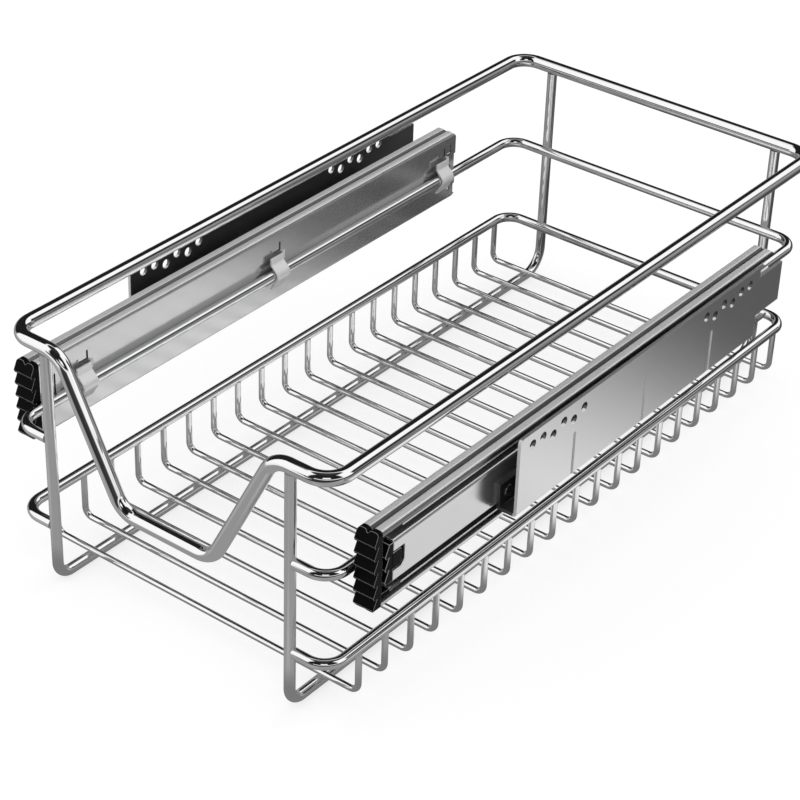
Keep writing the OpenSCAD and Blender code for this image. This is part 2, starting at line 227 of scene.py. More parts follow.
def basket_wire(name, node_name, diameter, points, bends, closed=False):
    """One chromed wire of the basket, bent along a path."""
    wire = path_object(name, points, bends, closed)
    run_tree(wire, wire_tree, wire_diameter=diameter * mm, finish=chrome)
    finish_piece(wire, "basket", node_name)


shoulder_x, handle_x = half_width - shoulder, half_width - shoulder - lean
basket_wire(
    "top_rail_wire", "top_rail", top_wire,
    [(-half_width, half_depth, rail_top), (-half_width, -half_depth, rail_top),
     (-shoulder_x, -half_depth, rail_top), (-handle_x, -half_depth, handle_low),
     (handle_x, -half_depth, handle_low), (shoulder_x, -half_depth, rail_top),
     (half_width, -half_depth, rail_top), (half_width, half_depth, rail_top)],
    [top_corner] * 2 + [handle_corner] * 4 + [top_corner] * 2, closed=True)

# Middle and lower rails.
# Two 6 mm wires that ring the basket inside the slides and at floor height.
# Same steel and plating, bent at four corners, both ends butt welded to the
# sides of the front uprights so that the front stays open below the handle.
middle_height, lower_height = 90, 36
rail_wire, rail_corner = 6, 12
upright_x = 80
rail_end = upright_x + 2.6
rail_front, rail_rear = -half_depth, half_depth - 6
for name, z in (("middle_rail", middle_height), ("lower_rail", lower_height)):
    basket_wire(
        name + "_wire", name, rail_wire,
        [(-rail_end, rail_front, z), (-half_width, rail_front, z), (-half_width, rail_rear, z),
         (half_width, rail_rear, z), (half_width, rail_front, z), (rail_end, rail_front, z)],
        [0] + [rail_corner] * 4 + [0])

# Frame wires.
# The two wires that carry the basket: each drops from the top rail, runs
# under the floor and climbs to the top rail again. 6 mm steel, bent tight at
# the front and round at the back, welded to every wire that it meets.
frame_wire, front_bend, rear_bend = 6, 9, 15
top_weld = rail_top - top_wire / 2 + 0.25
for side, s in (("left", -1), ("right", 1)):
    x = s * upright_x
    basket_wire(
        side + "_upright_wire", side + "_frame_wire", frame_wire,
        [(x, -half_depth, top_weld), (x, -half_depth, frame_wire / 2),
         (x, half_depth, frame_wire / 2), (x, half_depth, top_weld)],
        [0, front_bend, rear_bend, 0])

# Floor wires.
# Twenty 3.5 mm wires that make the floor: each lies across the frame wires
# and turns up at both ends to be butt welded under the lower rail.
cross_wire, cross_bend = 3.5, 5
first_cross, cross_pitch, cross_count = -196, 20.9, 20
floor_height = frame_wire + cross_wire / 2 - 0.02
floor_weld = lower_height - rail_wire / 2 + 0.1
row_sizes = (("First", "NodeSocketVector"), ("Step", "NodeSocketVector"), ("Count", "NodeSocketInt"))


def in_a_row(tree, one, given):
    """Nodes that repeat one piece Count times from First, each a Step further."""
    line = node(tree, "GeometryNodeMeshLine")
    for ours, theirs in (("Count", "Count"), ("First", "Start Location"), ("Step", "Offset")):
        tree.links.new(given.outputs[ours], line.inputs[theirs])
    row = node(tree, "GeometryNodeInstanceOnPoints")
    tree.links.new(line.outputs["Mesh"], row.inputs["Points"])
    tree.links.new(one, row.inputs["Instance"])
    return row.outputs["Instances"]


row_tree, given = start_tree("row of floor wires", ("Wire Diameter", "NodeSocketFloat"), *row_sizes)
one = form_wire(row_tree, given.outputs["Geometry"], given, arc_points=8)
end_tree(row_tree, in_a_row(row_tree, one, given), given)
floor_wires = path_object(
    "floor_wires",
    [(-half_width, 0, floor_weld), (-half_width, 0, floor_height),
     (half_width, 0, floor_height), (half_width, 0, floor_weld)],
    [0, cross_bend, cross_bend, 0])
run_tree(floor_wires, row_tree, wire_diameter=cross_wire * mm, finish=chrome,
         first=(0, first_cross * mm, 0), step=(0, cross_pitch * mm, 0), count=cross_count)
finish_piece(floor_wires, "basket", "cross_wires")

# Drawer members.
# The 45 mm outer channels of the slides, fixed to the basket by three hooks
# lanced out of the web and curled round the middle rail. Roll formed from
# 1.2 mm strip, bright zinc plated, a ball groove pressed in both flanges.
slide_web, slide_z = 107, 92.5
slide_front, slide_back, slide_thick = -200, 158, 12.7
strip_thick, flange = 1.2, 21.9
first_hook, hook_pitch, hook_width = slide_front + 30, 156, 11
hooks = [first_hook + hook_pitch * i for i in range(3)]
wire_u, wire_v = -3, middle_height - slide_z
pilot_hole = 2.6
front_pilot = (first_hook - 7.8, wire_v - 9)
rear_pilots = [(slide_back - 6, 0.5), (slide_back - 6, -15)]
through_web = (-1, 3)


def blend(t, factor, a, b):
    """Mixes two values in a tree."""
    mix = node(t, "ShaderNodeMix", data_type="FLOAT")
    for key, value in (("Factor", factor), ("A", a), ("B", b)):
        feed(t, mix.inputs[key], value)
    return mix.outputs["Result"]


def zinc_sheet(name, light, dark, rough, grain=0.03, metal=0.92):
    """Zinc plated strip: fine rolling lines along the part and a soft mottle."""
    mat, t, skin, place = new_finish(name, {"Metallic": metal})
    along = node(t, "ShaderNodeMapping")
    along.inputs["Scale"].default_value = (900, 3, 900)
    t.links.new(place, along.inputs["Vector"])
    lines = noise(t, along.outputs["Vector"], 1, 3)
    both = blend(t, 0.5, lines, noise(t, place, 40, 3))
    colour_skin(t, skin, both, dark, light, 0.3, 0.7)
    t.links.new(spread(t, both, 0.3, 0.7, rough - 0.015, rough + 0.015), skin.inputs["Roughness"])
    relief(t, skin, lines, grain, 0.000006)
    return mat


def paint_edge_highlight(name, colour, metal, rough):
    """A lighter finish for broken edges and cut walls: a painted highlight where they would catch the
    light.
    """
    mat, t, skin, place = new_finish(name, {"Metallic": metal, "Roughness": rough})
    colour_skin(t, skin, noise(t, place, 300, 4), [c * 0.82 for c in colour], colour)
    return mat


slide_zinc = zinc_sheet("bright zinc strip", (0.815, 0.815, 0.82), (0.785, 0.785, 0.79), 0.2)
flange_zinc = zinc_sheet("dull zinc flange", (0.80, 0.80, 0.805), (0.74, 0.74, 0.745), 0.4, metal=0.45)
# the ball grooves and upper lip get a dark zinc colour: painted shade
groove_painted_shade = zinc_sheet("zinc groove painted dark as shade", (0.24, 0.24, 0.243), (0.17, 0.17, 0.173), 0.3)
# the tongues get a paler, less metallic zinc: painted light on their faces
tongue_painted_light = zinc_sheet("zinc tongue painted light", (0.93, 0.93, 0.935), (0.88, 0.88, 0.885), 0.34, metal=0.35)
# sheared edges and bevels of the zinc parts get a lighter colour: painted highlight
sheared_highlight = paint_edge_highlight("painted highlight on sheared edges", (0.92, 0.92, 0.92), 0.35, 0.5)


def rounded(points, radii, steps=6):
    """A polyline with an arc of the given radius at every inner corner, steps to a right angle."""
    out = [Vector(points[0])]
    for i in range(1, len(points) - 1):
        a, b, c = (Vector(points[j]) for j in (i - 1, i, i + 1))
        r = radii[i]
        u, v = (a - b).normalized(), (c - b).normalized()
        half = u.angle(v) / 2
        if r <= 0 or abs(half - math.pi / 2) < 1e-4:
            out.append(b)
            continue
        cut = min(r / math.tan(half), (a - b).length * 0.49, (c - b).length * 0.49)
        r = cut * math.tan(half)
        centre = b + (u + v).normalized() * (r / math.sin(half))
        start, end = b + u * cut - centre, b + v * cut - centre
        turn = start.angle_signed(end)
        n = max(2, round(steps * abs(turn) / (math.pi / 2)))
        for k in range(n + 1):
            q = start.copy()
            q.rotate(Matrix.Rotation(-turn * k / n, 2))
            out.append(centre + q)
    out.append(Vector(points[-1]))
    return out


def channel_line(half, bends):
    """The centre line of a channel from the corners (u, v) and bends of its upper half."""
    return rounded(half + [(u, -v) for u, v in half[::-1]], bends + bends[::-1])


def strip(points, thick):
    """The closed outline of a sheet folded along a centre line."""
    offsets = []
    for i in range(len(points)):
        runs = [(points[j + 1] - points[j]).normalized() for j in (i - 1, i) if 0 <= j < len(points) - 1]
        normals = [Vector((-v.y, v.x)) for v in runs]
        m = sum(normals, Vector((0, 0)))
        m /= m.dot(normals[0])
        offsets.append(m)
    one = [p + o * (thick / 2) for p, o in zip(points, offsets)]
    two = [p - o * (thick / 2) for p, o in zip(points, offsets)]
    return one + two[::-1]


def oblong(y0, y1, v0, v1):
    """The outline of a rectangle."""
    return [(y0, v0), (y1, v0), (y1, v1), (y0, v1)]


def disc(y, v, diameter, n=28):
    """The outline of a round hole."""
    turns = [2 * math.pi * k / n for k in range(n)]
    return [(y + diameter / 2 * math.cos(a), v + diameter / 2 * math.sin(a)) for a in turns]


def moved(outline, y, v):
    """An outline carried to another place."""
    return [(y + a, v + b) for a, b in outline]


def loft(bm, first, second, low, high, place):
    """Adds to bm a solid between one outline at low and another at high; place maps them into the frame."""
    a = [bm.verts.new(place(p[0], p[1], low)) for p in first]
    b = [bm.verts.new(place(p[0], p[1], high)) for p in second]
    faces = [bm.faces.new(a), bm.faces.new(b[::-1])]
    for i in range(len(a)):
        j = (i + 1) % len(a)
        faces.append(bm.faces.new((a[j], a[i], b[i], b[j])))
    bmesh.ops.recalc_face_normals(bm, faces=faces)


def prism(bm, outline, low, high, place):
    """A solid with the same outline at both levels."""
    loft(bm, outline, outline, low, high, place)


def tapered(bm, outline, inset, low, high, place):
    """As prism, but the outline at high is drawn in by inset, for a pressed recess."""
    pts = [Vector(p) for p in outline]
    turn = sum(a.cross(b) for a, b in zip(pts, pts[1:] + pts[:1]))
    small = []
    for a, b, c in zip(pts[-1:] + pts[:-1], pts, pts[1:] + pts[:1]):
        u, v = (b - a).normalized(), (c - b).normalized()
        m = Vector((-u.y, u.x)) + Vector((-v.y, v.x))
        m /= m.dot(Vector((-u.y, u.x)))
        small.append(b + m * math.copysign(inset, turn))
    loft(bm, pts, small, low, high, place)


def solid(name, bm):
    """An object of its own from a bmesh."""
    mesh = bpy.data.meshes.new(name)
    bm.to_mesh(mesh)
    bm.free()
    obj = bpy.data.objects.new(name, mesh)
    bpy.context.scene.collection.objects.link(obj)
    return obj


def combine(obj, tool, how):
    """Cuts, joins or intersects obj with a tool solid, and drops the tool."""
    mod = obj.modifiers.new(how, "BOOLEAN")
    mod.operation, mod.solver, mod.object = how, "MANIFOLD", tool
    settle(obj)
    bpy.data.objects.remove(tool)


def give_finishes(obj, mats):
    """Lists the finishes that a mesh's faces choose from."""
    obj.data.materials.clear()
    for mat in mats:
        obj.data.materials.append(mat)


def dress(obj, mat, edge, segments=2, bevel_highlight=None, split=False):
    """Breaks the sharp edges, evens the shading of the flats and gives the finish.
    split cuts the flats into triangles first, where their outline is too fine for the bevel."""
    if not obj.data.materials:
        obj.data.materials.append(mat)
    obj.data.materials[0] = mat
    obj.data.shade_smooth()
    if split:
        obj.modifiers.new("flats", "TRIANGULATE").min_vertices = 5
    mod = obj.modifiers.new("edges", "BEVEL")
    mod.width, mod.segments, mod.limit_method = edge * mm, segments, "ANGLE"
    mod.angle_limit = math.radians(35)
    mod.use_clamp_overlap = True
    # the bevels take the lighter edge finish, a painted highlight
    if bevel_highlight:
        if bevel_highlight.name not in obj.data.materials:
            obj.data.materials.append(bevel_highlight)
        mod.material = list(obj.data.materials).index(bevel_highlight)
    even = obj.modifiers.new("even", "WEIGHTED_NORMAL")
    even.mode, even.keep_sharp, even.weight = "FACE_AREA", True, 50
    settle(obj)


def join(obj, other):
    """Takes another finished mesh, and its finishes, into obj as further shells of the same piece."""
    with bpy.context.temp_override(active_object=obj, selected_editable_objects=[obj, other]):
        bpy.ops.object.join()


def on_side(s):
    """Places points of one slide: u outward from the web, v above its middle line, y along it.
    section takes (u, v, y), face takes (y, v, u) and plan takes (u, y, v), outline first, level last."""
    def section(u, v, y):
        return Vector((s * (slide_web + u), y, slide_z + v)) * mm

    def face(y, v, u):
        return section(u, v, y)

    def plan(u, y, v):
        return section(u, v, y)

    return section, face, plan


drawer_line = channel_line(
    [(12.1, 19.5), (12.1, flange), (8.2, flange), (6.9, flange - 1.35), (5.7, flange - 1.35),
     (4.4, flange), (0.6, flange)],
    [0, 1.1, 1.1, 0.7, 0.7, 1.1, 1.7])

# outlines (y, v) measured from a hook's middle and the rail: the pressed pocket in front of and
# under the tongue, the relief slit above it, the blank that the tongue was lanced from, and the
# slit in front of the first hook alone
pocket = [(-16, -4.2), (-16, 7.6), (-10.5, 9.0), (-10.5, 14.6), (-2.3, 14.6), (-1.6, 12.0),
          (5.4, 12.0), (5.4, -4.2)]
pocket_draft, pocket_deep = 0.6, 0.75
relief_slit = [(-1.6, 11.2), (5.4, 11.2), (5.4, 17.2), (4, 17.2), (4, 12.6), (-1.6, 12.6)]
blank = oblong(-1, 4.9, -4, 6)
front_slit = oblong(-20.1, -18.9, 1, 14)
# from the channel's rear end: an L-shaped slit, two notches in the web and a clipped corner
rear_slit = [(-8.5, 9), (-4.2, 9), (-4.2, 15.5), (-5.5, 15.5), (-5.5, 10.3), (-8.5, 10.3)]
rear_notches = [oblong(-1.3, 2, -6, 8), oblong(-1.3, 2, -20, -13)]
clipped = [(-2.9, 22.6), (0.1, 22.6), (0.1, 19.6)]

# the tongue in section: down from the web, round the rail and out into a lip
grip, lip = 3.85, 8.2
tongue_top, root_low, bend_v = wire_v + 10.6, wire_v + 6.6, wire_v + 6.44
grip_start, grip_end = math.radians(135), math.radians(212)
turns = [grip_start + (grip_end - grip_start) * k / 10 for k in range(11)]
curl = [(wire_u + grip * math.cos(a), wire_v + grip * math.sin(a)) for a in turns]
lip_tip = (curl[-1][0] - lip * math.sin(grip_end), curl[-1][1] + lip * math.cos(grip_end))
lead = rounded([(-2.0, tongue_top), (-2.0, bend_v), curl[0]], [0, 1.8, 0], 8)[:-1]
tongue_line = lead + [Vector(p) for p in curl] + [Vector(lip_tip)]
# and in plan (u, y): the bent root that ties its rear edge to the web
root = [(-1.4, -0.05), (-2.6, -0.05), (-2.4, 0.8), (0, 3.6), (1.2, 3.6), (1.2, 1.8)]

for side, s in (("left", -1), ("right", 1)):
    section, face, plan = on_side(s)
    bm = bmesh.new()
    prism(bm, strip(drawer_line, strip_thick), slide_front, slide_back, section)
    member = solid(side + "_drawer_channel", bm)
    bm = bmesh.new()
    for y in hooks:
        tapered(bm, moved(pocket, y, wire_v), pocket_draft, -0.02, pocket_deep, face)
    combine(member, solid("pockets", bm), "DIFFERENCE")
    bm = bmesh.new()
    for y in hooks:
        prism(bm, moved(relief_slit, y, wire_v), *through_web, face)
        prism(bm, moved(blank, y, wire_v), *through_web, face)
    prism(bm, moved(front_slit, first_hook, wire_v), *through_web, face)
    prism(bm, disc(*front_pilot, pilot_hole), *through_web, face)
    combine(member, solid("windows", bm), "DIFFERENCE")
    bm = bmesh.new()
    prism(bm, moved(rear_slit, slide_back, 0), *through_web, face)
    for pilot in rear_pilots:
        prism(bm, disc(*pilot, pilot_hole), *through_web, face)
    for notch in rear_notches:
        prism(bm, moved(notch, slide_back, 0), *through_web, face)
    for k in (-1, 1):
        corner = [(slide_back + y, k * v) for y, v in clipped]
        prism(bm, corner, -1, slide_thick + 1.3, face)
    combine(member, solid("pierced", bm), "DIFFERENCE")
    # rolling leaves the flanges duller than the web; the grooves and the upper lip's outer face are painted
    # dark as shade
    give_finishes(member, (slide_zinc, flange_zinc, groove_painted_shade))
    for f in member.data.polygons:
        u, v = s * f.center.x / mm - slide_web, f.center.z / mm - slide_z
        outward = abs(v) > 19.5 and f.normal.z * v / abs(v) > 0.3
        upper_lip = u > 12.4 and s * f.normal.x > 0.6 and v > 0
        groove = outward and 4.7 < u < 7.9
        f.material_index = 2 if groove or upper_lip else 1 if outward and abs(f.normal.z) > 0.8 else 0
    dress(member, slide_zinc, 0.16, bevel_highlight=sheared_highlight, split=True)
    bm = bmesh.new()
    for y in hooks:
        front, rear = y - hook_width / 2, y + hook_width / 2
        prism(bm, strip(tongue_line, strip_thick), front, rear, section)
        prism(bm, moved(root, 0, rear), root_low, tongue_top, plan)
    tongues = solid("tongues", bm)
    dress(tongues, tongue_painted_light, 0.34, 3, bevel_highlight=sheared_highlight)
    join(member, tongues)
    finish_piece(member, "basket", side + "_drawer_member")

# Front caps.
# Buffers pushed into the front of the drawer members: six saw-tooth fins that
# give when the basket is shoved home. Injection moulded black polypropylene.
cap_half, fin_tip, fin_root = 22.5, 6, 3
# behind the fins, a flap along the web and two legs go into the channel: outlines (y, v) from the
# channel's end, v of a leg from its own middle, and the depths (u) of each
flap, flap_deep = oblong(-1, 7.5, -15, 15), (1.3, 2.2)
leg_middle, leg_deep = 17.8, (5.2, 10.8)
leg = [(-1, -1.4), (8.3, -1.4), (9, -0.7), (9, 0.7), (8.3, 1.4), (-1, 1.4)]


def black_moulding():
    """Black plastic with a fine spark-eroded grain and a faint bloom."""
    mat, t, skin, place = new_finish("black moulded plastic", {"Specular IOR Level": 0.05})
    bloom = noise(t, place, 120, 4)
    colour_skin(t, skin, bloom, (0.002, 0.002, 0.0022), (0.005, 0.005, 0.0055))
    t.links.new(spread(t, bloom, 0, 1, 0.34, 0.5), skin.inputs["Roughness"])
    relief(t, skin, noise(t, place, 2600, 2), 0.25, 0.00005)
    return mat


plastic = black_moulding()
# the plastic's bevels are painted grey: painted highlight along the fin edges
plastic_highlight = paint_edge_highlight("painted highlight on plastic edges", (0.42, 0.42, 0.425), 0.0, 0.45)


def fins(count, half, y):
    """The saw-tooth front of a buffer that is 2 * half high, from its top fin to its lowest."""
    pitch = 2 * half / count
    out = []
    for i in range(count - 1, -1, -1):
        out += [(y - fin_root, (i + 1) * pitch - half), (y - fin_tip, (i + 0.19) * pitch - half),
                (y - fin_tip + 0.09 * pitch, i * pitch - half)]
    return out


channel_skin = strip(drawer_line, strip_thick)
# a cap fills the channel out to the outer face of its strip
faces = channel_skin[len(drawer_line):], channel_skin[:len(drawer_line)]
envelope = max(faces, key=lambda line: max(p.x for p in line))
for side, s in (("left", -1), ("right", 1)):
    section, face, plan = on_side(s)
    y = slide_front
    bm = bmesh.new()
    prism(bm, [(y, -cap_half), (y, cap_half)] + fins(6, cap_half, y), 0, slide_thick, face)
    cap = solid(side + "_fin_cap", bm)
    bm = bmesh.new()
    prism(bm, envelope, y - 8, y + 1, section)
    combine(cap, solid("envelope", bm), "INTERSECT")
    bm = bmesh.new()
    bm.from_mesh(cap.data)
    prism(bm, moved(flap, y, 0), *flap_deep, face)
    for k in (-1, 1):
        prism(bm, moved(leg, y, k * leg_middle), *leg_deep, face)
    bm.to_mesh(cap.data)
    bm.free()
    dress(cap, plastic, 0.3, bevel_highlight=plastic_highlight)
    finish_piece(cap, "basket", side + "_front_cap")

# Ball cages and their balls.
# Folded strip with a row of pockets above and below, each holding a 3.2 mm
# bearing ball between the races. Cages are pressed from oiled 0.6 mm steel.
# the cage strip is coloured dark as painted shade inside the slide
cage_painted_shade = zinc_sheet("oiled cage strip", (0.30, 0.30, 0.31), (0.22, 0.22, 0.225), 0.34)
ball_count, ball_pitch, ball_d = 14, 10.5, 3.2
cage_thick, pocket_play = 0.6, 0.4
cage_len = ball_pitch * (ball_count + 0.4)
cage_bend = 1.3
window_long, window_half = 30, 7


def bearing_steel():
    """Hardened and lapped ball steel, with a thin film of grease."""
    mat, t, skin, place = new_finish("bearing steel", {"Metallic": 1.0, "Coat Weight": 0.3})
    film = noise(t, place, 700, 2)
    colour_skin(t, skin, film, (0.55, 0.55, 0.56), (0.8, 0.8, 0.82))
    t.links.new(spread(t, film, 0, 1, 0.06, 0.22), skin.inputs["Roughness"])
    return mat


ball_steel = bearing_steel()
ball_tree, given = start_tree(
    "row of balls", ("Ball Diameter", "NodeSocketFloat"), *row_sizes, ("Drop", "NodeSocketVector"))
ball = node(ball_tree, "GeometryNodeMeshIcoSphere")
ball.inputs["Subdivisions"].default_value = 3
radius = node(ball_tree, "ShaderNodeMath", operation="MULTIPLY")
radius.inputs[1].default_value = 0.5
ball_tree.links.new(given.outputs["Ball Diameter"], radius.inputs[0])
ball_tree.links.new(radius.outputs[0], ball.inputs["Radius"])
polish = node(ball_tree, "GeometryNodeSetShadeSmooth")
ball_tree.links.new(ball.outputs["Mesh"], polish.inputs["Geometry"])
upper_row = in_a_row(ball_tree, polish.outputs["Geometry"], given)
lower = node(ball_tree, "GeometryNodeTransform")
ball_tree.links.new(upper_row, lower.inputs["Geometry"])
ball_tree.links.new(given.outputs["Drop"], lower.inputs["Translation"])
pair = node(ball_tree, "GeometryNodeJoinGeometry")
ball_tree.links.new(upper_row, pair.inputs["Geometry"])
ball_tree.links.new(lower.outputs["Geometry"], pair.inputs["Geometry"])
end_tree(ball_tree, pair.outputs["Geometry"], given)

for side, s in (("left", -1), ("right", 1)):
    section, face, plan = on_side(s)
    # each cage's name, middle, the height v of its flanges, and u of its web, lips and balls
    for tag, middle, v, u_web, u_lip, u_ball in (("outer", -17, 19.35, 1.85, 11.0, 9.4),
                                                 ("inner", -15, 14.45, 4.15, 10.8, 8.4)):
        cage_line = channel_line([(u_lip, v), (u_web, v)], [0, cage_bend])
        bm = bmesh.new()
        prism(bm, strip(cage_line, cage_thick), middle - cage_len / 2, middle + cage_len / 2, section)
        cage = solid(f"{side}_{tag}_cage_strip", bm)
        bm = bmesh.new()
        first = middle - (ball_count - 1) / 2 * ball_pitch
        for i in range(ball_count):
            hole = disc(u_ball, first + i * ball_pitch, ball_d + pocket_play, 20)
            for k in (-1, 1):
                prism(bm, hole, k * v - 1, k * v + 1, plan)
        for i in (-1, 0, 1):
            y = middle + i * cage_len / 3.3
            prism(bm, oblong(y, y + window_long, -window_half, window_half), 0, 6, face)
        combine(cage, solid("pockets", bm), "DIFFERENCE")
        dress(cage, cage_painted_shade, 0.08)
        finish_piece(cage, f"{side}_{tag}_bearing", f"{side}_{tag}_cage")
        balls = path_object(f"{side}_{tag}_ball_row", [(0, 0, 0)], [0])
        run_tree(balls, ball_tree, ball_diameter=ball_d * mm, finish=ball_steel,
                 first=tuple(section(u_ball, v, first)), step=(0, ball_pitch * mm, 0), count=ball_count,
                 drop=(0, 0, -2 * v * mm))
        finish_piece(balls, f"{side}_{tag}_bearing", f"{side}_{tag}_balls")

# Intermediate members.
# The channels that run between the two rows of balls and let the basket come
# all the way out. Roll formed 1 mm strip, zinc plated, round tooling holes.
# the intermediate strip is coloured dark as painted shade inside the slide
middle_painted_shade = zinc_sheet("zinc strip painted dark as shade", (0.30, 0.30, 0.305), (0.24, 0.24, 0.245), 0.27)
middle_front, middle_back = slide_front + 17, slide_back - 6
middle_thick, middle_bend = 1.0, 1.3
tooling_hole, tooling_inset = 8, 40
latch_slot, through_middle = oblong(12, 26, -4, 4), (1, 5)
middle_line = channel_line([(11.2, 16.9), (3.0, 16.9)], [0, middle_bend])
for side, s in (("left", -1), ("right", 1)):
    section, face, plan = on_side(s)
    bm = bmesh.new()
    prism(bm, strip(middle_line, middle_thick), middle_front, middle_back, section)
    channel = solid(side + "_intermediate_channel", bm)
    bm = bmesh.new()
    for y in (middle_front + tooling_inset, middle_back - tooling_inset):
        prism(bm, disc(y, 0, tooling_hole, 36), *through_middle, face)
    prism(bm, moved(latch_slot, middle_front, 0), *through_middle, face)
    combine(channel, solid("tooling", bm), "DIFFERENCE")
    # the cut lips that face outward get the painted edge highlight
    give_finishes(channel, (middle_painted_shade, sheared_highlight))
    for f in channel.data.polygons:
        f.material_index = 1 if s * f.normal.x > 0.9 and s * f.center.x / mm - slide_web > 11 else 0
    dress(channel, middle_painted_shade, 0.2, bevel_highlight=sheared_highlight)
    finish_piece(channel, side + "_intermediate", side + "_intermediate_member")

# Cabinet members.
# The smallest channels, riveted to the brackets and so to the cabinet. Same
# zinc plated strip, the face notched at the front for the end plug's catch.
inner_front, inner_back = slide_front + 9, slide_back - 3
inner_line = channel_line([(5.6, 11.9), (11.9, 11.9)], [0, 1.3])
catch_notch = [(-1, 6.2), (8.6, 6.2), (8.6, -3.0), (6, -5.6), (-1, -5.6)]
through_face = (9.5, 14)
for side, s in (("left", -1), ("right", 1)):
    section, face, plan = on_side(s)
    bm = bmesh.new()
    prism(bm, strip(inner_line, strip_thick), inner_front, inner_back, section)
    channel = solid(side + "_cabinet_channel", bm)
    bm = bmesh.new()
    prism(bm, rounded(moved(catch_notch, inner_front, 0), [0, 0.8, 1.2, 1.2, 0]), *through_face, face)
    combine(channel, solid("notch", bm), "DIFFERENCE")
    dress(channel, slide_zinc, 0.2, bevel_highlight=sheared_highlight)
    finish_piece(channel, "cabinet_side", side + "_cabinet_member")

# End plugs.
# Buffers in the front of the cabinet members: three fins and a catch that
# springs into the notch of the channel. The same black polypropylene.
plug_half, shank_half, shank_long, catch_long = 11.25, 11, 14, 6.4
plug_deep, shank_deep, catch_deep = (5.2, 12.2), (6, 11.1), (10.5, 12.2)
for side, s in (("left", -1), ("right", 1)):
    section, face, plan = on_side(s)
    y = inner_front
    bm = bmesh.new()
    prism(bm, [(y, -plug_half), (y, plug_half)] + fins(3, plug_half, y), *plug_deep, face)
    prism(bm, oblong(y - 1, y + shank_long, -shank_half, shank_half), *shank_deep, face)
    catch = rounded(oblong(y - 1, y + catch_long, -4.6, 5.0), [0, 1.0, 1.0, 0])
    prism(bm, catch, *catch_deep, face)
    plug = solid(side + "_fin_plug", bm)
    dress(plug, plastic, 0.24, bevel_highlight=plastic_highlight)
    finish_piece(plug, "cabinet_side", side + "_end_plug")

# Brackets.
# Folded 1.8 mm plates that bring the slides out to the cabinet walls. Laser
# cut holes and slits, satin zinc plate; two groups of six screw holes let the
# fitter pick a pair, and three slits leave room for hinge plates.
bracket_zinc = zinc_sheet("satin zinc plate", (0.80, 0.80, 0.805), (0.775, 0.775, 0.78), 0.3)
# slit walls and up-facing hole walls are painted near white: painted light
cut_wall_painted_light = paint_edge_highlight("laser cut wall painted light", (0.97, 0.97, 0.97), 0.0, 0.6)
# the fold's inside, its inward faces and most hole walls are painted dark: painted shade
bracket_painted_shade = zinc_sheet("bracket zinc painted dark as shade", (0.20, 0.20, 0.203), (0.16, 0.16, 0.163), 0.36)
bracket_front, bracket_back = slide_front + 92.5, slide_front + 320.5
bracket_low, bracket_high = -14.5, 31.5
plate_inner, plate_outer, bracket_t = 23.2, 25.0, 1.8
leg_u, plate_u, leg_top = 13.4, 24.1, 0.5
rear_long, rear_top = 24.5, 25
screw_hole, screw_pitch, screw_drop = 5.4, 9, 3.2
# how many drops below the top row each hole of the front and of the rear group lies
front_group, rear_group = (0, 0, 1, 0, 1, 0), (0, 1, 0, 1, 0, 0)
group_inset, group_top = 10.5, bracket_high - 7
slit_half, slit_top, slit_inset = 1.2, 12.8, 48.5
# depths (u): through the plate, and from inside the fold's bend out through the plate
through_plate, slit_deep = (20, 28), (23.1, 26)
